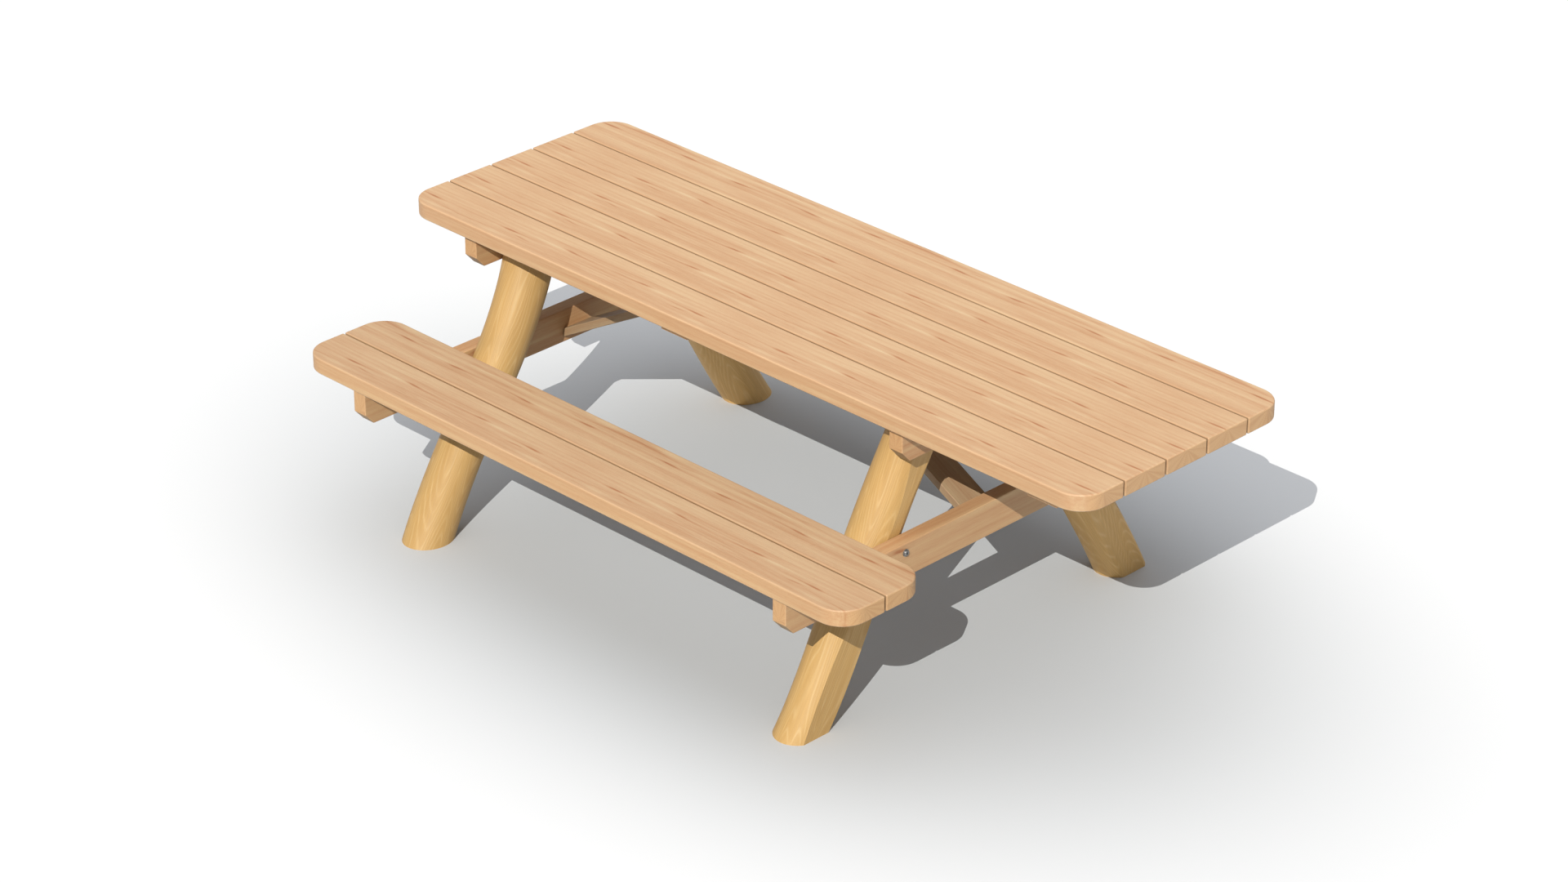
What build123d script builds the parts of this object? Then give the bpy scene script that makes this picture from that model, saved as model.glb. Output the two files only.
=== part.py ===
from build123d import *
from math import atan, cos, sqrt
from numpy import interp
import os

# Wheelchair-accessible picnic table on four log legs, in millimetres.
# X runs along the table and Y across it, Z is up and Z = 0 is the ground.
# The origin is on the ground, below the middle of the table top.
# The top overhangs the benches at the +X end: that is the wheelchair user's place.

# Planed boards of the top and the benches
board_width = 145
board_thickness = 45
board_gap = 5
board_corner_radius = 75
board_edge_radius = 4
top_board_count = 5
bench_board_count = 2
top_length = 2400
bench_length = 1995
top_height = 830
seat_height = 510
bench_to_top_gap = 88

# Beams on edge, bolted to the outer side of the legs
beam_width = 45
beam_height = 95
beam_edge_radius = 3
beam_bevel_run = 28
beam_bevel_height = 31
top_beam_inset = 25
seat_beam_inset = 8
frame_spacing = 1506

# Round log legs: where the axis stands at the ground and below the top
log_diameter = 132
foot_spread = 595
head_spread = 175

# Each log is a little crooked. At these shares of its height, from the ground up, this is
# the depth of the flat planed on its outer side, and how far its axis bows inwards.
leg_shares = [0, 0.25, 0.5, 0.75, 1]
leg_flat_depths = [12, 16, 5, 4, 30]
leg_bows = [0, 7, 16, 21, 0]

# Thin flat boards: battens across the underside of the top, and the diagonal braces
slat_width = 95
slat_thickness = 22
slat_edge_radius = 2
end_batten_inset = 150
brace_foot_height = 411
brace_seat_length = 20

# Screws, with the hole in the piece that is pulled tight a little wider than the screw
screw_play = 0.5
tip_cover = 10
pilot_spare = 2
coach_diameter = 10
coach_length = 120
coach_flange_diameter = 20
coach_flange_height = 2
coach_dome_diameter = 16
coach_dome_height = 4
coach_socket_width = 6
coach_row_offset = 22.5
coach_side_offset = 12
board_screw_diameter = 6
board_screw_head_diameter = 12
board_screw_head_height = 3
board_screw_grip = 45
board_screw_edge_distance = 30
counterbore_diameter = 14
slat_screw_diameter = 5
slat_screw_head_diameter = 10
slat_screw_head_height = 2.5
slat_screw_zigzag = 20
brace_screw_length = 50
brace_screw_spacing = 50
brace_screw_grip = 18
brace_pocket_diameter = 11
brace_top_screw_inset = 10
brace_top_screw_grip = 14

# Places that follow from the sizes above
board_pitch = board_width + board_gap
top_width = top_board_count * board_pitch - board_gap
bench_width = bench_board_count * board_pitch - board_gap
top_underside = top_height - board_thickness
seat_underside = seat_height - board_thickness
bench_inner_edge = top_width / 2 + bench_to_top_gap
bench_middle_y = bench_inner_edge + bench_width / 2
bench_middle_x = (bench_length - top_length) / 2
top_beam_length = top_width - 2 * top_beam_inset
seat_beam_length = 2 * (bench_inner_edge + bench_width - seat_beam_inset)
log_radius = log_diameter / 2
end_batten_x = top_length / 2 - end_batten_inset
board_screw_bite = board_thickness - tip_cover

nodes = {}


def pointing(x, y, z, direction):
    """A place whose own +Z points along direction, for a screw or the tool that bores its hole."""
    return Plane(origin=(x, y, z), z_dir=direction)


def bore(diameter, depth, start=0):
    """A cylinder along +Z from start, used to cut a hole."""
    return Pos(0, 0, start) * Cylinder(diameter / 2, depth, align=(Align.CENTER, Align.CENTER, Align.MIN))


def hexagon_socket(width, top, depth):
    """The hexagon recess in a screw head whose outer face is at Z = top."""
    outline = RegularPolygon(width / 2, 6, major_radius=False)
    return Pos(0, 0, top) * extrude(outline, depth)


def shank(diameter, length):
    """A screw's shank along +Z, with a tapered tip."""
    taper = 1.5 * diameter
    tip = Pos(0, 0, length - taper) * Cone(
        diameter / 2, diameter / 8, taper, align=(Align.CENTER, Align.CENTER, Align.MIN))
    return bore(diameter, length - taper) + tip


def flat_head_screw(diameter, length, head_diameter, head_height):
    """A screw along +Z whose disc head lies on the wood at Z = 0."""
    head = bore(head_diameter, head_height, -head_height)
    head = fillet(head.edges().group_by(Axis.Z)[0], head_height / 3)
    socket = hexagon_socket(diameter * 0.7, -head_height, head_height * 0.7)
    return shank(diameter, length) + head - socket


def sunk_head_screw(diameter, length, head_diameter, head_height):
    """A countersunk screw along +Z whose head is flush with the wood at Z = 0."""
    head = Cone(head_diameter / 2, diameter / 2, head_height, align=(Align.CENTER, Align.CENTER, Align.MIN))
    return shank(diameter, length) + head - hexagon_socket(diameter * 0.6, 0, head_height * 0.8)


def coach_screw():
    """A coach screw along +Z with a flanged, domed socket head."""
    flange = bore(coach_flange_diameter, coach_flange_height, -coach_flange_height)
    dome_top = -coach_flange_height - coach_dome_height
    dome = bore(coach_dome_diameter, coach_dome_height, dome_top)
    dome = fillet(dome.edges().group_by(Axis.Z)[0], coach_dome_height * 0.6)
    socket = hexagon_socket(coach_socket_width, dome_top, coach_dome_height)
    return shank(coach_diameter, coach_length) + flange + dome - socket


def board(length, rounded_side):
    """A board with its lower face at Z = 0. rounded_side is -1 or 1 where one long side
    carries the rounded plan corners, and 0 on a board between two others."""
    outline = Rectangle(length, board_width)
    if rounded_side:
        corners = [v for v in outline.vertices() if v.Y * rounded_side > 0]
        outline = fillet(corners, board_corner_radius)
    body = extrude(outline, board_thickness)
    sharp = [e for e in body.edges() if not (is_upright(e) and e.center().Y * rounded_side > 0)]
    return fillet(sharp, board_edge_radius)


def is_upright(edge):
    """True for a straight vertical edge."""
    ends = edge.vertices()
    return abs(ends[0].X - ends[-1].X) + abs(ends[0].Y - ends[-1].Y) < board_edge_radius / 10


def beam(length):
    """A beam along Y, on edge, with its top at Z = 0 and bevelled lower end corners."""
    half = length / 2
    outline = Polyline(
        (-half, 0), (half, 0), (half, beam_bevel_height - beam_height),
        (half - beam_bevel_run, -beam_height), (beam_bevel_run - half, -beam_height),
        (-half, beam_bevel_height - beam_height), close=True)
    body = extrude(Plane.YZ * make_face(outline), beam_width / 2, both=True)
    return fillet(body.edges(), beam_edge_radius)


def leg_axis(level):
    """The log's axis at a height: its distance from the flat side, and from the middle of the table."""
    share = level / top_underside
    flat_distance = log_radius - interp(share, leg_shares, leg_flat_depths)
    spread = foot_spread + (head_spread - foot_spread) * share - interp(share, leg_shares, leg_bows)
    return flat_distance, spread


def leg():
    """A log leg on the +Y side, with its flat at X = 0 and the log on the -X side of it."""
    lean = atan((foot_spread - head_spread) / top_underside)
    sections = []
    for share in leg_shares:
        level = share * top_underside
        flat_distance, spread = leg_axis(level)
        section = Ellipse(log_radius, log_radius / cos(lean))
        sections.append(Pos(-flat_distance, spread, level) * section)
    log = loft(sections)
    planed_away = Pos(0, foot_spread / 2, 0) * Box(
        log_diameter, 2 * foot_spread + log_diameter, 3 * top_height, align=(Align.MIN, Align.CENTER, Align.CENTER))
    return log - planed_away


def coach_screw_places(beam_underside):
    """Where two coach screws pass through a beam into a leg: spread from the middle, and height."""
    middle = beam_underside + beam_height / 2
    places = []
    for row in (-1, 1):
        level = middle + row * coach_row_offset
        spread = leg_axis(level)[1] - row * coach_side_offset
        places.append((spread, level))
    return places


def clear_of(spread, obstacles, room):
    """Moves a screw outwards along the beam until it clears the coach screws."""
    for obstacle in sorted(obstacles):
        if abs(spread - obstacle) < room:
            spread = obstacle + room
    return spread


def board_screw_spreads(board_middles, beam_length, coach_places):
    """Two screws for each board, kept off the beam's bevelled ends and clear of the coach screws."""
    furthest = beam_length / 2 - beam_bevel_run - counterbore_diameter
    room = (counterbore_diameter + coach_diameter) / 2 + 2 * screw_play
    obstacles = [spread for spread, level in coach_places]
    spreads = []
    for middle in board_middles:
        for side in (-1, 1):
            along = middle + side * (board_width / 2 - board_screw_edge_distance)
            size = clear_of(min(abs(along), furthest), obstacles, room)
            spreads.append(size if along > 0 else -size)
    return spreads


# Boards of the top, numbered from the -Y side
top_board_middles = [(i - (top_board_count - 1) / 2) * board_pitch for i in range(top_board_count)]
for number, middle in enumerate(top_board_middles, 1):
    rounded_side = {1: -1, top_board_count: 1}.get(number, 0)
    nodes[f"top_board_{number}"] = Pos(0, middle, top_underside) * board(top_length, rounded_side)

# Boards of the two benches, which are flush with the top's -X end
bench_board_middles = {}
for bench, bench_side in (("front", -1), ("rear", 1)):
    for place, place_side in (("inner", -1), ("outer", 1)):
        middle = bench_side * (bench_middle_y + place_side * board_pitch / 2)
        name = f"{bench}_bench_{place}_board"
        bench_board_middles[name] = middle
        rounded_side = bench_side * place_side
        nodes[name] = Pos(bench_middle_x, middle, seat_underside) * board(bench_length, rounded_side)

# Leg frames: two logs, a top beam and a seat beam each, with the beams on the outer side.
# outward is the X direction from the log to the beams.
coach_screws = {"top_beam": [], "seat_beam": []}
board_screws = {"top_board": [], "bench_board": []}
beam_levels = {"top_beam": top_underside, "seat_beam": seat_underside}
beam_lengths = {"top_beam": top_beam_length, "seat_beam": seat_beam_length}
fixed_boards = {
    "top_beam": {f"top_board_{n}": middle for n, middle in enumerate(top_board_middles, 1)},
    "seat_beam": bench_board_middles,
}
screw_groups = {"top_beam": "top_board", "seat_beam": "bench_board"}
one_coach_screw = coach_screw()
one_board_screw = flat_head_screw(
    board_screw_diameter, board_screw_grip + board_screw_bite, board_screw_head_diameter, board_screw_head_height)
coach_bite = coach_length - beam_width
log_on_minus_x = leg()

frame_faces = {}
for side, outward in (("left", -1), ("right", 1)):
    face_x = bench_middle_x + outward * frame_spacing / 2
    frame_faces[side] = face_x
    for row, row_side in (("front", -1), ("rear", 1)):
        log = log_on_minus_x
        if outward < 0:
            log = mirror(log, Plane.YZ)
        if row_side < 0:
            log = mirror(log, Plane.XZ)
        log = Pos(face_x, 0, 0) * log
        for kind, level in beam_levels.items():
            for spread, height in coach_screw_places(level - beam_height):
                pilot = pointing(face_x, row_side * spread, height, (-outward, 0, 0))
                log -= pilot * bore(coach_diameter, coach_bite + pilot_spare)
        nodes[f"{side}_{row}_leg"] = log

    for kind, level in beam_levels.items():
        beam_x = face_x + outward * beam_width / 2
        outer_x = face_x + outward * beam_width
        coach_places = coach_screw_places(level - beam_height)
        body = Pos(beam_x, 0, level) * beam(beam_lengths[kind])
        for spread, height in coach_places:
            for row_side in (-1, 1):
                place = pointing(outer_x, row_side * spread, height, (-outward, 0, 0))
                body -= place * bore(coach_diameter + screw_play, beam_width)
                coach_screws[kind].append(place * one_coach_screw)
        fixed = fixed_boards[kind]
        spreads = board_screw_spreads(fixed.values(), beam_lengths[kind], coach_places)
        for index, spread in enumerate(spreads):
            place = pointing(beam_x, spread, level - board_screw_grip, (0, 0, 1))
            body -= place * bore(board_screw_diameter + screw_play, board_screw_grip)
            counterbore_depth = beam_height - board_screw_grip
            body -= place * bore(counterbore_diameter, counterbore_depth, -counterbore_depth)
            name = list(fixed)[index // 2]
            pilot = place * bore(board_screw_diameter, board_screw_bite + pilot_spare, board_screw_grip)
            nodes[name] -= pilot
            board_screws[screw_groups[kind]].append(place * one_board_screw)
        nodes[f"{side}_{kind}"] = body

# Battens: one midway between the frames, one below the overhanging end
batten_screws = []
batten_half = top_beam_length / 2
one_batten_screw = sunk_head_screw(
    slat_screw_diameter, slat_thickness + board_screw_bite - tip_cover, slat_screw_head_diameter,
    slat_screw_head_height)
countersink = Cone(
    slat_screw_head_diameter / 2, slat_screw_diameter / 2, slat_screw_head_height,
    align=(Align.CENTER, Align.CENTER, Align.MIN))
for name, batten_x in (("middle_batten", bench_middle_x), ("end_batten", end_batten_x)):
    body = Pos(batten_x, 0, top_underside - slat_thickness / 2) * Box(
        slat_width, top_beam_length, slat_thickness)
    body = fillet(body.edges(), slat_edge_radius)
    for number, middle in enumerate(top_board_middles, 1):
        for side in (-1, 1):
            along = middle + side * (board_width / 2 - board_screw_edge_distance)
            limit = batten_half - slat_screw_head_diameter
            along = max(-limit, min(limit, along))
            zigzag = slat_screw_zigzag if side * middle >= 0 else -slat_screw_zigzag
            place = pointing(batten_x + zigzag, along, top_underside - slat_thickness, (0, 0, 1))
            body -= place * bore(slat_screw_diameter + screw_play, slat_thickness)
            body -= place * countersink
            pilot = place * bore(slat_screw_diameter, board_screw_bite - tip_cover + pilot_spare, slat_thickness)
            nodes[f"top_board_{number}"] -= pilot
            batten_screws.append(place * one_batten_screw)
    nodes[name] = body

# Braces: from the inner face of each seat beam up to the middle batten. The foot is cut plumb
# against the beam, and the head is cut level below the top board and plumb against the batten.
brace_run = frame_spacing / 2 - slat_width / 2
brace_slope = (top_underside - brace_foot_height) / (brace_run - brace_seat_length)
brace_plumb_height = slat_thickness * sqrt(1 + brace_slope ** 2)
brace_end_underside = top_underside + brace_slope * brace_seat_length - brace_plumb_height
middle_board = f"top_board_{(top_board_count + 1) // 2}"
one_brace_screw = flat_head_screw(
    slat_screw_diameter, brace_screw_length, slat_screw_head_diameter, slat_screw_head_height)
brace_foot_screws = []
brace_head_screws = []
for side, inward in (("left", 1), ("right", -1)):
    face_x = frame_faces[side]
    outline = Polyline(
        (0, brace_foot_height - brace_plumb_height), (0, brace_foot_height),
        (inward * (brace_run - brace_seat_length), top_underside), (inward * brace_run, top_underside),
        (inward * brace_run, brace_end_underside), close=True)
    body = extrude(Plane.XZ * make_face(outline), slat_width / 2, both=True)
    long_edges = [e for e in body.edges() if e.length > brace_run / 2]
    body = Pos(face_x, 0, 0) * fillet(long_edges, slat_edge_radius)
    foot_level = brace_foot_height - brace_plumb_height / 2
    head_x = face_x + inward * (brace_run - brace_top_screw_inset)
    for row in (-1, 1):
        y = row * brace_screw_spacing / 2
        foot = pointing(face_x + inward * brace_screw_grip, y, foot_level, (-inward, 0, 0))
        body -= foot * bore(slat_screw_diameter + screw_play, brace_screw_grip)
        body -= foot * bore(brace_pocket_diameter, slat_width, -slat_width)
        nodes[f"{side}_seat_beam"] -= foot * bore(
            slat_screw_diameter, brace_screw_length - brace_screw_grip + pilot_spare, brace_screw_grip)
        brace_foot_screws.append(foot * one_brace_screw)
        head = pointing(head_x, y, top_underside - brace_top_screw_grip, (0, 0, 1))
        body -= head * bore(slat_screw_diameter + screw_play, brace_top_screw_grip)
        body -= head * bore(brace_pocket_diameter, slat_width, -slat_width)
        nodes[middle_board] -= head * bore(
            slat_screw_diameter, brace_screw_length - brace_top_screw_grip + pilot_spare, brace_top_screw_grip)
        brace_head_screws.append(head * one_brace_screw)
    nodes[f"{side}_brace"] = body

# Like fasteners share a node, as separate solids
nodes["top_beam_coach_screws"] = Compound(children=coach_screws["top_beam"])
nodes["seat_beam_coach_screws"] = Compound(children=coach_screws["seat_beam"])
nodes["top_board_screws"] = Compound(children=board_screws["top_board"])
nodes["bench_board_screws"] = Compound(children=board_screws["bench_board"])
nodes["batten_screws"] = Compound(children=batten_screws)
nodes["brace_foot_screws"] = Compound(children=brace_foot_screws)
nodes["brace_head_screws"] = Compound(children=brace_head_screws)

os.makedirs("parts", exist_ok=True)
for name, shape in nodes.items():
    export_step(shape, f"parts/{name}.step")
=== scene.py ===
import math

import bpy
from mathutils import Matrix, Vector


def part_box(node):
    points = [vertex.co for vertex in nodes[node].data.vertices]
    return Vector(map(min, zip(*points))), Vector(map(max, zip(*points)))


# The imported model: every piece of the picnic table, in metres. X runs along the table, the
# ground is Z = 0, and the front bench is on the -Y side.
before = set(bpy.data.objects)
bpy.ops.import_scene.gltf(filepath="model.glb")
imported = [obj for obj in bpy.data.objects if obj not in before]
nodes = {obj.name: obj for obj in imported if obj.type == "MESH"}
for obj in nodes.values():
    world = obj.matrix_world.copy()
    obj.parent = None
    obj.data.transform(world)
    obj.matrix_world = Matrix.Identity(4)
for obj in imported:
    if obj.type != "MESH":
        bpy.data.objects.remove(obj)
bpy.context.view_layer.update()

# ---------------------------------------------------------------------------------------
# Legs
# Four leaning softwood logs, peeled of their bark and planed flat down the side that the
# beams are screwed to. The pale yellow wood has long nested grain loops with cream lines.
# ---------------------------------------------------------------------------------------

lengthwise = Vector((1, 0, 0))
upright = Vector((0, 0, 1))

# Noise seldom goes below the first of these or above the second
noise_fade = (0.25, 0.75)


class Link:
    """An output of a finish's nodes. Arithmetic on it adds the Math nodes that work it out."""

    def __init__(self, finish, socket):
        self.finish = finish
        self.socket = socket

    def math(self, operation, first, second=0.0):
        return self.finish.node("Math", {"operation": operation}, {0: first, 1: second})

    def __add__(self, other):
        return self.math("ADD", self, other)

    def __sub__(self, other):
        return self.math("SUBTRACT", self, other)

    def __rsub__(self, other):
        return self.math("SUBTRACT", other, self)

    def __mul__(self, other):
        return self.math("MULTIPLY", self, other)

    def __truediv__(self, other):
        return self.math("DIVIDE", self, other)

    def __pow__(self, other):
        return self.math("POWER", self, other)

    def __abs__(self):
        return self.math("ABSOLUTE", self)

    __radd__ = __add__
    __rmul__ = __mul__


class Finish:
    """The nodes of a material or of the sky. Its node method adds a node of any type."""

    def __init__(self, owner, shader="Principled BSDF"):
        self.owner = owner
        self.owner.use_nodes = True
        self.tree = self.owner.node_tree
        self.shader = self.tree.nodes[shader]

    def node(self, kind, settings, inputs, output=0):
        """Adds a node: first its settings, then the values or links of its sockets."""
        made = self.tree.nodes.new("ShaderNode" + kind)
        for name, value in settings.items():
            if name == "stops":
                self.set_stops(made.color_ramp, value)
            else:
                setattr(made, name, value)
        for name, value in inputs.items():
            self.feed(made, name, value)
        return Link(self, made.outputs[output])

    def feed(self, node, name, value):
        """Links or sets one socket of a node."""
        if isinstance(value, Link):
            self.tree.links.new(value.socket, node.inputs[name])
        else:
            node.inputs[name].default_value = value

    def set_stops(self, ramp, stops):
        """Sets a colour ramp's stops, each a place from 0 to 1 and a colour."""
        while len(ramp.elements) < len(stops):
            ramp.elements.new(1.0)
        for element, (place, colour) in zip(ramp.elements, stops):
            element.position = place
            element.color = (*colour, 1.0)

    def put_on(self, name):
        """Gives this finish to a CAD node."""
        for slot in nodes[name].material_slots:
            slot.material = self.owner


def distances(finish, place, directions):
    """How far the surface lies from a place, in metres, along each direction."""
    position = finish.node("TexCoord", {}, {}, "Object")
    offset = finish.node("VectorMath", {"operation": "SUBTRACT"}, {0: position, 1: place})
    return [
        finish.node("VectorMath", {"operation": "DOT_PRODUCT"}, {0: offset, 1: direction}, "Value")
        for direction in directions
    ]


def facing(finish, direction):
    """1 where the surface faces along a direction, 0 where it is square to it, -1 against it."""
    normal = finish.node("NewGeometry", {}, {}, "Normal")
    return finish.node("VectorMath", {"operation": "DOT_PRODUCT"}, {0: normal, 1: direction}, "Value")


def fade(finish, value, start, end):
    """Rises smoothly from 0 to 1 as a value goes from start to end."""
    limits = {"Value": value, "From Min": start, "From Max": end}
    return finish.node("MapRange", {"interpolation_type": "SMOOTHSTEP"}, limits)


def streaks(finish, place, size, seed, detail=2.0):
    """Noise from 0 to 1, drawn out along the grain into streaks of this length and width."""
    along, across, through = place
    length, width = size
    drawn_out = finish.node(
        "CombineXYZ", {}, {0: along / length + seed, 1: across / width, 2: through / width}
    )
    noise = finish.node("TexNoise", {}, {"Vector": drawn_out, "Scale": 1.0, "Detail": detail})
    return fade(finish, noise, *noise_fade)


def wave(finish, turns):
    """Swings from 0 to 1 and back, once in every whole turn."""
    return 0.5 + 0.5 * finish.node("Math", {"operation": "SINE"}, {0: turns * math.tau})


def mix(finish, share, first, second, blend_type="MIX"):
    """Mixes two colours by a share from 0 to 1, or multiplies them."""
    settings = {"data_type": "RGBA", "blend_type": blend_type}
    return finish.node("Mix", settings, {0: share, 6: first, 7: second}, 2)


def raise_grain(finish, height, depth):
    """Shapes the surface by a height from 0 to 1, which stands for a depth in metres."""
    bump = finish.node("Bump", {}, {"Height": height, "Distance": depth, "Strength": 1.0})
    finish.feed(finish.shader, "Normal", bump)


log_yellow = (0.525, 0.322, 0.112, 1.0)
log_tan = (0.440, 0.250, 0.076, 1.0)
log_cream = (0.640, 0.450, 0.215, 1.0)
log_end_brown = (0.360, 0.205, 0.078, 1.0)
log_half_width = 0.075

# Length and width of each kind of streak, in metres, and the seeds that tell them apart
log_wander = (0.45, 0.060)
log_taper = (0.60, 1.0)
log_patch = (0.22, 0.012)
log_fibre = (0.08, 0.0020)
log_blotch = (0.30, 0.024)
log_taper_seed = 2.0
log_patch_seed = 5.0
log_fibre_seed = 9.0
log_blotch_seed = 13.0

# Growth rings on the round face and on the sawn ends
log_ring_spacing = 0.0045
log_ring_wander = 0.008
log_loop_rows = 4
log_lines_across_row = 5.0
log_lines_along_row = 9.0
cream_line_sharpness = 5.0
tan_line_sharpness = 4.0
log_end_fade = (0.8, 0.95)

# How strongly each part of the grain colours, roughens and raises the surface
blotch_colour = 0.45
cream_line_colour = 0.08
cream_patch_colour = 0.45
tan_line_colour = 0.25
end_ring_colour = 0.7
fibre_darkest = 0.94
fibre_brightening = 0.10
log_roughness = 0.48
log_fibre_roughness = 0.14
log_blotch_roughness = 0.06
log_fibre_height = 0.45
log_ring_height = 0.15
log_blotch_height = 0.4
log_grain_depth = 0.0004


def peeled_log(name, seed, turn, paleness_and_painted_light):
    """The finish of one leg, with its grain along the log's own leaning axis. turn says how
    far round the log, in radians, its rows of loops stand."""
    finish = Finish(bpy.data.materials.new(name + "_wood"))
    low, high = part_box(name)
    side = math.copysign(1.0, low.y + high.y)
    foot_spread = max(abs(low.y), abs(high.y)) - log_half_width
    head_spread = min(abs(low.y), abs(high.y)) + log_half_width
    foot = Vector(((low.x + high.x) / 2, side * foot_spread, low.z))
    head = Vector(((low.x + high.x) / 2, side * head_spread, high.z))
    upwards = (head - foot).normalized()
    sideways = upwards.cross(lengthwise)
    place = distances(finish, foot, (upwards, sideways, lengthwise))
    along, across, through = place
    from_axis = (across ** 2.0 + through ** 2.0) ** 0.5

    # Growth rings reach the peeled surface in rows of long loops, nested in one another,
    # with straight lines between the rows
    around = finish.node("Math", {"operation": "ARCTAN2"}, {0: across, 1: through})
    wander = streaks(finish, place, log_wander, seed, detail=1.0)
    row_angle = (around - turn) * (log_loop_rows / 2) + wander
    row = finish.node("Math", {"operation": "SINE"}, {0: row_angle})
    taper = streaks(finish, (along, 0.0, 0.0), log_taper, seed + log_taper_seed, detail=0.0)
    ring = wave(finish, row ** 2.0 * log_lines_across_row + taper * log_lines_along_row + wander)
    strength = streaks(finish, place, log_patch, seed + log_patch_seed)
    fibre = streaks(finish, place, log_fibre, seed + log_fibre_seed)
    blotch = streaks(finish, place, log_blotch, seed + log_blotch_seed)

    wood = mix(finish, blotch * blotch_colour, log_yellow, log_tan)
    cream = ring ** cream_line_sharpness * (cream_line_colour + cream_patch_colour * strength)
    wood = mix(finish, cream, wood, log_cream)
    tan = (1.0 - ring) ** tan_line_sharpness * (1.0 - strength) * tan_line_colour
    wood = mix(finish, tan, wood, log_tan)
    fibre_shade = fibre_darkest + fibre * fibre_brightening
    shade = finish.node("CombineColor", {}, {0: fibre_shade, 1: fibre_shade, 2: fibre_shade})
    wood = mix(finish, 1.0, wood, shade, "MULTIPLY")
    # The log's paleness multiplies its colour; on the rear logs it is painted fill light for their
    # shaded side
    wood = mix(finish, 1.0, wood, (paleness_and_painted_light, paleness_and_painted_light, paleness_and_painted_light, 1.0), "MULTIPLY")

    # Sawn ends show the rings as circles round the pith
    end = fade(finish, abs(facing(finish, upright)), *log_end_fade)
    circle = wave(finish, (from_axis + wander * log_ring_wander) / log_ring_spacing)
    sawn = mix(finish, circle * end_ring_colour, log_yellow, log_end_brown)
    wood = mix(finish, end, wood, sawn)

    finish.feed(finish.shader, "Base Color", wood)
    roughness = log_roughness + fibre * log_fibre_roughness + blotch * log_blotch_roughness
    finish.feed(finish.shader, "Roughness", roughness)
    relief = fibre * log_fibre_height + ring * log_ring_height + blotch * log_blotch_height
    raise_grain(finish, relief, log_grain_depth)
    finish.put_on(name)


# How far round the log its rows of loops stand, in radians, and how pale the log is painted: the rear
# logs, which stand in the table's shade, are painted paler as painted fill light
first_log_number = 3
log_seed_step = 11.3
legs = {
    "left_front_leg": (0.4, 0.88),
    "right_front_leg": (0.7, 0.92),
    "left_rear_leg": (1.0, 1.32),
    "right_rear_leg": (1.3, 1.18),
}
for number, (name, (turn, paleness_and_painted_light)) in enumerate(legs.items(), first_log_number):
    peeled_log(name, number * log_seed_step, turn, paleness_and_painted_light)

# ---------------------------------------------------------------------------------------
# Beams
# Four planed softwood beams on edge, two under the top and two under the benches, screwed
# to the legs. They are warm brown, with long reddish streaks and a knot here and there.
# ---------------------------------------------------------------------------------------

timber_shades = [
    (0.00, (0.600, 0.445, 0.262)),
    (0.25, (0.560, 0.378, 0.214)),
    (0.50, (0.512, 0.312, 0.170)),
    (0.72, (0.460, 0.250, 0.124)),
    (1.00, (0.370, 0.155, 0.064)),
]
end_grain_tan = (0.548, 0.338, 0.174, 1.0)
end_grain_brown = (0.440, 0.235, 0.108, 1.0)
# Paler colour of rounded edges: wear, and partly a painted highlight
worn_edge_and_highlight = (0.580, 0.400, 0.245, 1.0)
# Painted shade inside the gaps between boards
gap_shade_brown = (0.110, 0.060, 0.028, 1.0)
# Painted shade on faces that look down
underside_shade_tint = (0.500, 0.560, 0.590, 1.0)

# Length and width of each kind of streak, in metres, and the seeds that tell them apart
timber_band = (0.55, 0.034)
timber_narrow_band = (0.30, 0.009)
timber_line = (0.14, 0.0036)
timber_fibre = (0.055, 0.0016)
timber_fleck = (0.014, 0.0011)
timber_rub = (0.12, 0.020)
narrow_band_seed = 4.0
line_seed = 3.0
fleck_seed = 6.0
rub_seed = 17.0

# How much each part of the figure darkens the wood
band_depth = 0.25
narrow_band_depth = 0.22
line_depth = 0.08
fibre_depth = 0.07
fleck_depth = 0.05
arch_depth = 0.16

# Spacing of the figure, and of the rings and rays on the sawn ends
figure_repeat = 0.5
arch_spacing = 0.075
arch_line_spacing = 0.0075
arch_wander = 1.5
timber_ring_spacing = 0.0050
timber_ring_wander = 0.004
rays_per_radian = 3.6
heart_width = 0.14

# Where each kind of mark, wear or painted shade starts to show, and where it is at its full strength
fleck_fade = (0.62, 0.95)
ray_fade = (0.40, 0.66)
timber_end_fade = (0.72, 0.92)
edge_fade = (0.35, 0.95)
under_fade = (0.2, 0.7)
gap_fade = (0.75, 1.0)

# How strongly each part of the grain, the wear, the painted shade and the painted highlight colours,
# roughens and raises the surface
end_colour = 0.05
ray_colour = 0.45
ring_colour = 0.08
heart_colour = 0.5
least_rub = 0.45
uneven_rub = 0.55
rub_and_highlight_colour = 0.15
gap_shade_colour = 0.45
timber_roughness = 0.52
timber_fibre_roughness = 0.12
fleck_roughness = 0.1
rub_smoothing = 0.1
timber_fibre_height = 0.4
narrow_band_height = 0.3
ray_height = 0.3
fleck_sinking = 0.2
timber_grain_depth = 0.0005


def mark(finish, along, across, spot):
    """A soft spindle-shaped mark, 1 at its middle. Its slope and bend turn it off the grain."""
    spot_along, spot_across, half_length, half_width, slope, bend = spot
    run = along - spot_along
    rise = across - spot_across - run * slope - run ** 2.0 * bend
    spread = (run / half_length) ** 2.0 + (rise / half_width) ** 2.0
    return finish.node("Math", {"operation": "EXPONENT"}, {0: 0.0 - spread})


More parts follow.
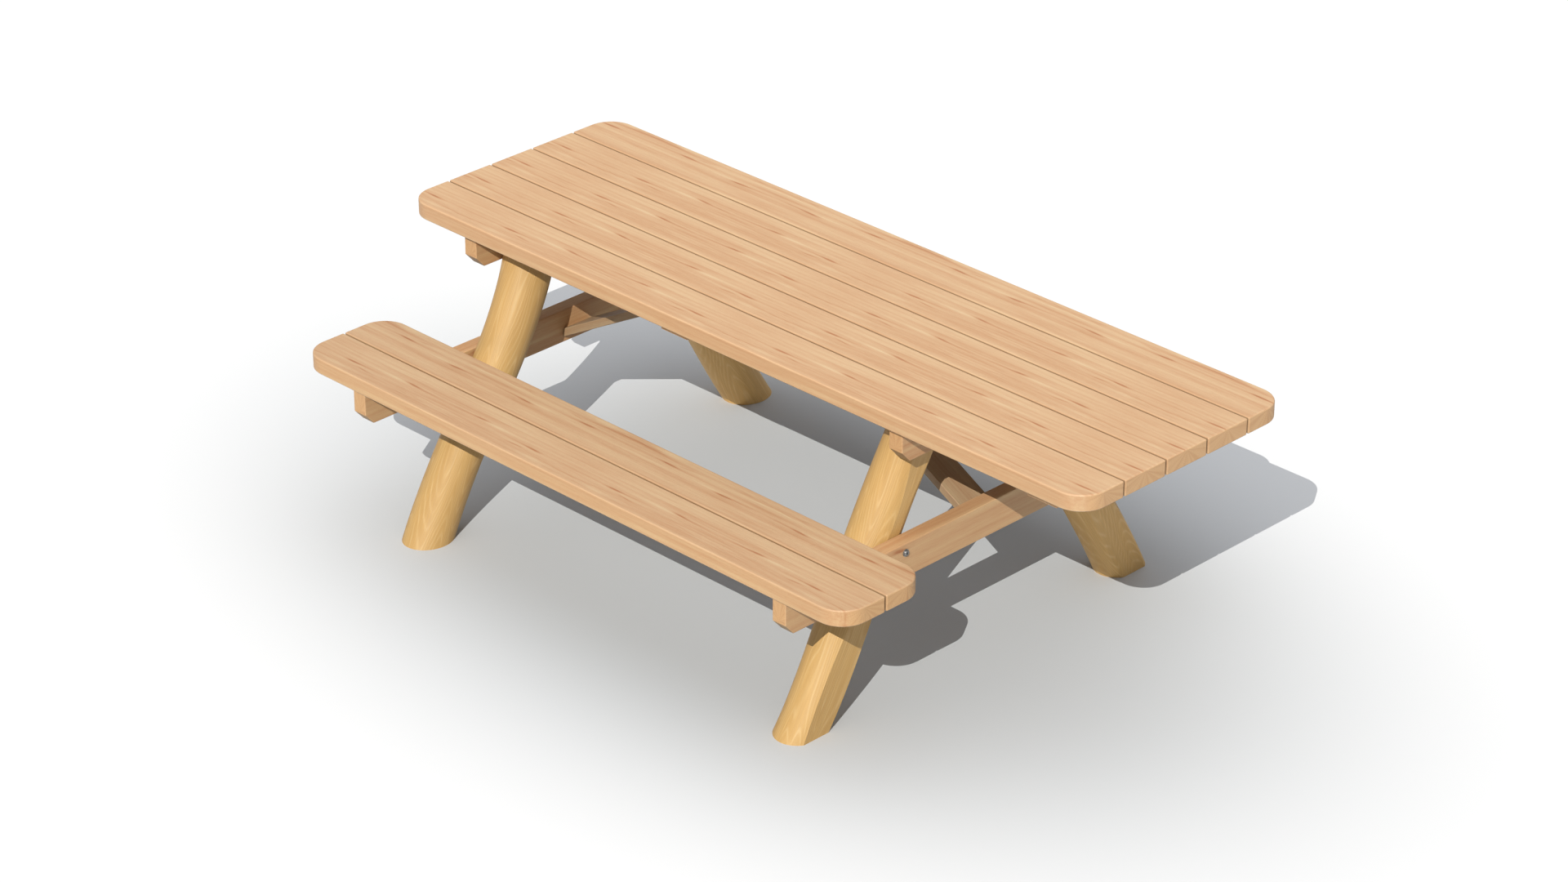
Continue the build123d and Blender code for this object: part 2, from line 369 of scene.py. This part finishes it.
def planed_timber(name, directions, pith, seeds, look, shift=(0.0, 0.0), gaps=()):
    """The finish of one sawn and planed piece. Its directions are along the grain, across the
    face and through the piece. The pith is where the tree's middle would cross its ends.
    gaps lists the sides, -1 or 1 across the face, that stand close to a neighbour."""
    figure_seed, grain_seed = seeds
    finish = Finish(bpy.data.materials.new(name + "_wood"))
    low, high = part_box(name)
    place = distances(finish, (low + high) / 2, directions)
    along, across, through = place

    # The broad figure turns back on itself along the piece, so that its knots come in pairs
    folded = finish.node("Math", {"operation": "PINGPONG"}, {0: along - shift[0], 1: figure_repeat})
    shifted = across - shift[1]
    figure_place = (folded, shifted, through)
    bands = streaks(finish, figure_place, timber_band, figure_seed)
    narrow_bands = streaks(finish, figure_place, timber_narrow_band, figure_seed + narrow_band_seed)
    lines = streaks(finish, place, timber_line, grain_seed + line_seed)
    fibre = streaks(finish, place, timber_fibre, grain_seed)
    fleck = fade(finish, streaks(finish, place, timber_fleck, grain_seed + fleck_seed), *fleck_fade)
    shade = look["tone"] + bands * band_depth + narrow_bands * narrow_band_depth + lines * line_depth
    for *spot, depth in look["marks"]:
        shade = shade + mark(finish, folded, shifted, spot) * depth
    for spot in look["arches"]:
        from_peak = abs(shifted - spot[1]) / arch_line_spacing
        arch = wave(finish, folded / arch_spacing + from_peak + bands * arch_wander)
        shade = shade + arch ** 2.0 * mark(finish, folded, shifted, spot) * arch_depth
    shade = shade + fibre * fibre_depth + fleck * fleck_depth
    wood = finish.node("ValToRGB", {"stops": timber_shades}, {0: shade})

    # Ends: growth rings round the pith, crossed by rays and fine drying cracks
    pith_across = across - pith[0]
    pith_through = through - pith[1]
    from_pith = (pith_across ** 2.0 + pith_through ** 2.0) ** 0.5
    angle = finish.node("Math", {"operation": "ARCTAN2"}, {0: pith_across, 1: pith_through})
    ray_place = {"W": angle * rays_per_radian + grain_seed, "Scale": 1.0, "Detail": 2.0}
    ray = fade(finish, finish.node("TexNoise", {"noise_dimensions": "1D"}, ray_place), *ray_fade)
    heart = finish.node("Math", {"operation": "EXPONENT"}, {0: (angle / heart_width) ** 2.0 * -1.0})
    rings_out = (from_pith + bands * timber_ring_wander) / timber_ring_spacing
    ring = finish.node("Math", {"operation": "SINE"}, {0: rings_out * math.tau})
    brown = ray * ray_colour + ring * ring_colour + heart * heart_colour + end_colour
    sawn = mix(finish, brown, end_grain_tan, end_grain_brown)
    end = fade(finish, abs(facing(finish, directions[0])), *timber_end_fade)
    wood = mix(finish, end, wood, sawn)

    # Flat and upright faces take different tints; the darker upright tint is partly the wood's own
    # tone and partly painted shade on the sides
    flat = abs(facing(finish, upright))
    tint = mix(finish, flat, look["upright_tint_and_shade"], look["flat_tint"])
    wood = mix(finish, 1.0, wood, tint, "MULTIPLY")

    # Rounded edges are painted paler and made smoother: partly wear from handling, partly a painted
    # highlight along the edges
    lean = abs(facing(finish, directions[2]))
    rub = streaks(finish, place, timber_rub, grain_seed + rub_seed)
    rounded = fade(finish, lean * (1.0 - lean) * 4.0, *edge_fade)
    edge = rounded * (least_rub + uneven_rub * rub)
    wood = mix(finish, edge * rub_and_highlight_colour, wood, worn_edge_and_highlight)

    # Faces that look down are painted duller and greyer: painted shade under the pieces
    under = fade(finish, facing(finish, -upright), *under_fade)
    wood = mix(finish, under, wood, mix(finish, 1.0, wood, underside_shade_tint, "MULTIPLY"))

    # Sides that face a narrow gap are painted darker: painted shade in the gaps
    for side in gaps:
        gap_shade = fade(finish, facing(finish, directions[1]) * side, *gap_fade)
        wood = mix(finish, gap_shade * gap_shade_colour, wood, gap_shade_brown)

    finish.feed(finish.shader, "Base Color", wood)
    roughness = timber_roughness + fibre * timber_fibre_roughness + fleck * fleck_roughness
    finish.feed(finish.shader, "Roughness", roughness - edge * rub_smoothing)
    relief = fibre * timber_fibre_height + narrow_bands * narrow_band_height + end * ray * ray_height
    raise_grain(finish, relief - fleck * fleck_sinking, timber_grain_depth)
    finish.put_on(name)


# Marks of the figure, in metres from the piece's middle: along, across, half length, half
# width, slope, bend, and depth of colour, which is below zero for a pale mark. Arches are
# placed in the same way, and all have the one depth.
beam_look = {
    "tone": 0.18,
    "flat_tint": (1.000, 0.960, 0.870, 1.0),
    "upright_tint_and_shade": (0.885, 0.850, 0.757, 1.0),
    "marks": [
        (0.352, 0.034, 0.022, 0.006, 0.15, 0.0, 0.60),
        (0.400, 0.034, 0.060, 0.004, 0.05, 0.0, 0.15),
        (0.200, -0.010, 0.160, 0.005, 0.00, 0.0, -0.15),
    ],
    "arches": [],
}
crosswise = Vector((0, 1, 0))
beam_grain = (crosswise, upright, lengthwise)
beam_pith = (-0.010, 0.0)
beam_figure_seed = 21.0
beam_grain_seed = 40.0
beam_seed_step = 7.0
beams = ["left_top_beam", "right_top_beam", "left_seat_beam", "right_seat_beam"]
for number, name in enumerate(beams):
    seeds = (beam_figure_seed + number, beam_grain_seed + beam_seed_step * number)
    planed_timber(name, beam_grain, beam_pith, seeds, beam_look)

# ---------------------------------------------------------------------------------------
# Battens and braces
# Thin flat boards of the same softwood. Two battens are screwed across the underside of
# the top, and two diagonal braces run from the seat beams up to the middle batten.
# ---------------------------------------------------------------------------------------

batten_look = {
    "tone": 0.17,
    "flat_tint": (1.0, 1.0, 1.0, 1.0),
    "upright_tint_and_shade": (0.885, 0.885, 0.870, 1.0),
    "marks": [],
    "arches": [],
}
thin_board_pith = (0.0, 0.011)
batten_grain = (crosswise, lengthwise, upright)
batten_figure_seed = 61.0
batten_grain_seed = 70.0
batten_seed_step = 7.0
for number, name in enumerate(["middle_batten", "end_batten"]):
    seeds = (batten_figure_seed + number, batten_grain_seed + batten_seed_step * number)
    planed_timber(name, batten_grain, thin_board_pith, seeds, batten_look)

brace_look = {
    "tone": 0.17,
    "flat_tint": (0.705, 0.750, 0.775, 1.0),
    "upright_tint_and_shade": (0.615, 0.664, 0.674, 1.0),
    "marks": [],
    "arches": [],
}
brace_figure_seed = 81.0
brace_grain_seed = 85.0
brace_seed_step = 11.0

# 1 where a brace climbs towards the right-hand end of the table, -1 towards the left
brace_climbs = {"left_brace": 1.0, "right_brace": -1.0}
for number, (name, climb) in enumerate(brace_climbs.items()):
    low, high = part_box(name)
    brace_along = Vector((high.x - low.x, 0, climb * (high.z - low.z))).normalized()
    brace_grain = (brace_along, crosswise, brace_along.cross(crosswise))
    seeds = (brace_figure_seed, brace_grain_seed + brace_seed_step * number)
    planed_timber(name, brace_grain, thin_board_pith, seeds, brace_look)

# ---------------------------------------------------------------------------------------
# Top boards
# Five planed softwood boards, side by side with narrow gaps, screwed down from below.
# Their pale pinkish wood has soft long bands and pairs of small reddish pin knots.
# ---------------------------------------------------------------------------------------

board_grain = (lengthwise, crosswise, upright)
turned_board_grain = (lengthwise, -crosswise, -upright)
board_pith = (0.0, 0.020)
turned_board_pith = (0.0, -0.020)
board_figure_seed = 2.4
board_seed_step = 13.0
top_board_grain_seed = 97.0
board_look = {
    "tone": 0.14,
    "flat_tint": (1.0, 1.0, 1.0, 1.0),
    # The darker upright tint is painted shade on the boards' edges and ends
    "upright_tint_and_shade": (0.885, 0.880, 0.845, 1.0),
    "marks": [
        # Pin knots and their tails
        (0.364, 0.0125, 0.027, 0.0034, -0.03, 0.0, 0.54),
        (0.405, 0.0105, 0.070, 0.0028, -0.02, 0.0, 0.26),
        (0.150, -0.0095, 0.026, 0.0034, 0.03, 0.0, 0.54),
        (0.190, -0.0078, 0.070, 0.0026, 0.02, 0.0, 0.26),
        (0.205, -0.0230, 0.030, 0.0022, -0.10, 0.6, 0.30),
        # Long dark streaks
        (0.400, 0.0300, 0.130, 0.0060, 0.00, 0.0, 0.20),
        (0.000, -0.0080, 0.170, 0.0030, 0.00, 0.0, 0.18),
        (0.500, -0.0080, 0.120, 0.0040, 0.00, 0.0, 0.18),
        (0.000, -0.0380, 0.130, 0.0024, 0.00, 0.4, 0.26),
        # Cream streaks
        (0.090, 0.0120, 0.220, 0.0065, -0.01, 0.0, -0.22),
        (0.310, 0.0070, 0.055, 0.0040, 0.01, 0.0, -0.24),
        (0.115, -0.0475, 0.050, 0.0080, 0.00, 0.0, -0.22),
        (0.440, -0.0250, 0.070, 0.0035, 0.00, 0.0, -0.18),
    ],
    "arches": [(0.430, -0.034, 0.080, 0.014, 0.0, 0.0), (0.060, -0.040, 0.080, 0.012, 0.0, 0.0)],
}

# Grain, pith, shift of the figure along and across, and the sides that face a gap
top_boards = [
    (board_grain, board_pith, (0.000, -0.008), [1.0]),
    (board_grain, board_pith, (0.018, 0.000), [-1.0, 1.0]),
    (board_grain, board_pith, (0.018, 0.000), [-1.0, 1.0]),
    (board_grain, board_pith, (0.018, 0.000), [-1.0, 1.0]),
    (turned_board_grain, turned_board_pith, (0.000, -0.020), [1.0]),
]
for number, (grain, pith, shift, gaps) in enumerate(top_boards, 1):
    seeds = (board_figure_seed, top_board_grain_seed + board_seed_step * number)
    planed_timber(f"top_board_{number}", grain, pith, seeds, board_look, shift, gaps)

# ---------------------------------------------------------------------------------------
# Bench boards
# Two boards for each bench, screwed down to the seat beams from below. They are of the
# same softwood as the top, with flat faces a little darker than the top's.
# ---------------------------------------------------------------------------------------

bench_look = dict(
    board_look, flat_tint=(0.902, 0.910, 0.915, 1.0), upright_tint_and_shade=(0.890, 0.872, 0.790, 1.0)
)
bench_board_grain_seed = 190.0

# Grain, pith, and shift of the figure along and across
bench_boards = {
    "front_bench_inner_board": (turned_board_grain, turned_board_pith, (0.000, -0.012)),
    "front_bench_outer_board": (board_grain, board_pith, (0.000, -0.008)),
    "rear_bench_inner_board": (board_grain, board_pith, (0.000, -0.012)),
    "rear_bench_outer_board": (turned_board_grain, turned_board_pith, (0.000, -0.008)),
}
for number, (name, (grain, pith, shift)) in enumerate(bench_boards.items()):
    seeds = (board_figure_seed, bench_board_grain_seed + board_seed_step * number)
    planed_timber(name, grain, pith, seeds, bench_look, shift, [1.0])

# ---------------------------------------------------------------------------------------
# Screws
# Zinc-plated steel coach screws hold the beams to the legs, and smaller zinc-plated
# screws hold the boards, battens and braces. The plating is dull, grey and a little uneven.
# ---------------------------------------------------------------------------------------

zinc_bright = (0.360, 0.358, 0.352, 1.0)
zinc_dull = (0.190, 0.188, 0.184, 1.0)
zinc_depth = 0.0001
crystals_per_metre = 900.0
tarnish_per_metre = 260.0
tarnish_fade = (0.35, 0.7)
tarnish_colour = 0.7
crystal_colour = 0.3
tarnish_height = 0.6
crystal_height = 0.4
zinc_roughness = 0.46
tarnish_roughness = 0.16

zinc = Finish(bpy.data.materials.new("zinc_plate"))
metal_position = zinc.node("TexCoord", {}, {}, "Object")
crystals = zinc.node("TexVoronoi", {}, {"Vector": metal_position, "Scale": crystals_per_metre})
tarnish_size = {"Vector": metal_position, "Scale": tarnish_per_metre, "Detail": 4.0}
tarnish = fade(zinc, zinc.node("TexNoise", {}, tarnish_size), *tarnish_fade)
dullness = tarnish * tarnish_colour + crystals * crystal_colour
zinc.feed(zinc.shader, "Base Color", mix(zinc, dullness, zinc_bright, zinc_dull))
zinc.feed(zinc.shader, "Metallic", 1.0)
zinc.feed(zinc.shader, "Roughness", zinc_roughness + tarnish * tarnish_roughness)
raise_grain(zinc, tarnish * tarnish_height + crystals * crystal_height, zinc_depth)
for name in nodes:
    if name.endswith("screws"):
        zinc.put_on(name)

# ---------------------------------------------------------------------------------------
# Studio
# A plain pale floor with a painted pool of shade round the table, a sun that casts clear shadows, a
# pale sky that is brightest overhead, and a camera that looks down on the right front corner.
# ---------------------------------------------------------------------------------------

scene = bpy.context.scene
floor_half_size = 60.0
floor_roughness = 0.9
# Round the table the floor is painted grey: a painted pool of shade
floor_shade_grey = (0.475, 0.492, 0.505, 1.0)
floor_white = (0.670, 0.670, 0.670, 1.0)
pool_middle = Vector((-0.10, 0.0, 0.0))
pool_half_length = 1.45
pool_half_width = 0.98
pool_fade = (0.5, 1.6)
floor_mesh = bpy.data.meshes.new("floor")
floor_corners = [
    (x * floor_half_size, y * floor_half_size, 0.0) for x, y in ((-1, -1), (1, -1), (1, 1), (-1, 1))
]
floor_mesh.from_pydata(floor_corners, [], [(0, 1, 2, 3)])
floor = bpy.data.objects.new("floor", floor_mesh)
scene.collection.objects.link(floor)
floor_paint = Finish(bpy.data.materials.new("floor_paint"))
below_x, below_y = distances(floor_paint, pool_middle, (lengthwise, crosswise))
outwards = ((below_x / pool_half_length) ** 2.0 + (below_y / pool_half_width) ** 2.0) ** 0.5
pool = fade(floor_paint, outwards, *pool_fade)
floor_paint.feed(floor_paint.shader, "Base Color", mix(floor_paint, pool, floor_shade_grey, floor_white))
floor_paint.feed(floor_paint.shader, "Roughness", floor_roughness)
floor_mesh.materials.append(floor_paint.owner)

sun_direction = Vector((0.7015, -1.1433, 1.0)).normalized()
sun_light = bpy.data.lights.new("sun", "SUN")
sun_light.energy = 3.92
sun_light.angle = math.radians(0.06)
sun_light.color = (1.0, 0.975, 0.925)
sun = bpy.data.objects.new("sun", sun_light)
sun.rotation_euler = sun_direction.to_track_quat("Z", "Y").to_euler()
scene.collection.objects.link(sun)

sky_horizon = (0.240, 0.249, 0.262, 1.0)
sky_zenith = (1.620, 1.665, 1.735, 1.0)
sky_backdrop = (0.940, 0.945, 0.950, 1.0)
sky_climb = 3.0
sky = Finish(bpy.data.worlds.new("sky"), "Background")
upwards = sky.node("SeparateXYZ", {}, {0: sky.node("TexCoord", {}, {}, "Generated")}, "Z")
overhead = sky.node("Math", {"operation": "POWER", "use_clamp": True}, {0: upwards, 1: sky_climb})
dome = mix(sky, overhead, sky_horizon, sky_zenith)
seen = sky.node("LightPath", {}, {}, "Is Camera Ray")
sky.feed(sky.shader, "Color", mix(sky, seen, dome, sky_backdrop))
scene.world = sky.owner

camera_aim = Vector((0.049, -0.206, 0.5))
camera_distance = 11.69
camera_turn = math.radians(45.0)
camera_drop = math.radians(27.76)
camera_data = bpy.data.cameras.new("camera")
camera_data.lens = 105.7
camera_data.sensor_width = 36.0
camera = bpy.data.objects.new("camera", camera_data)
level = math.cos(camera_drop)
back = Vector((math.sin(camera_turn) * level, -math.cos(camera_turn) * level, math.sin(camera_drop)))
camera.location = camera_aim + back * camera_distance
camera.rotation_euler = (math.pi / 2 - camera_drop, 0.0, camera_turn)
scene.collection.objects.link(camera)
scene.camera = camera
scene.view_settings.view_transform = "Standard"
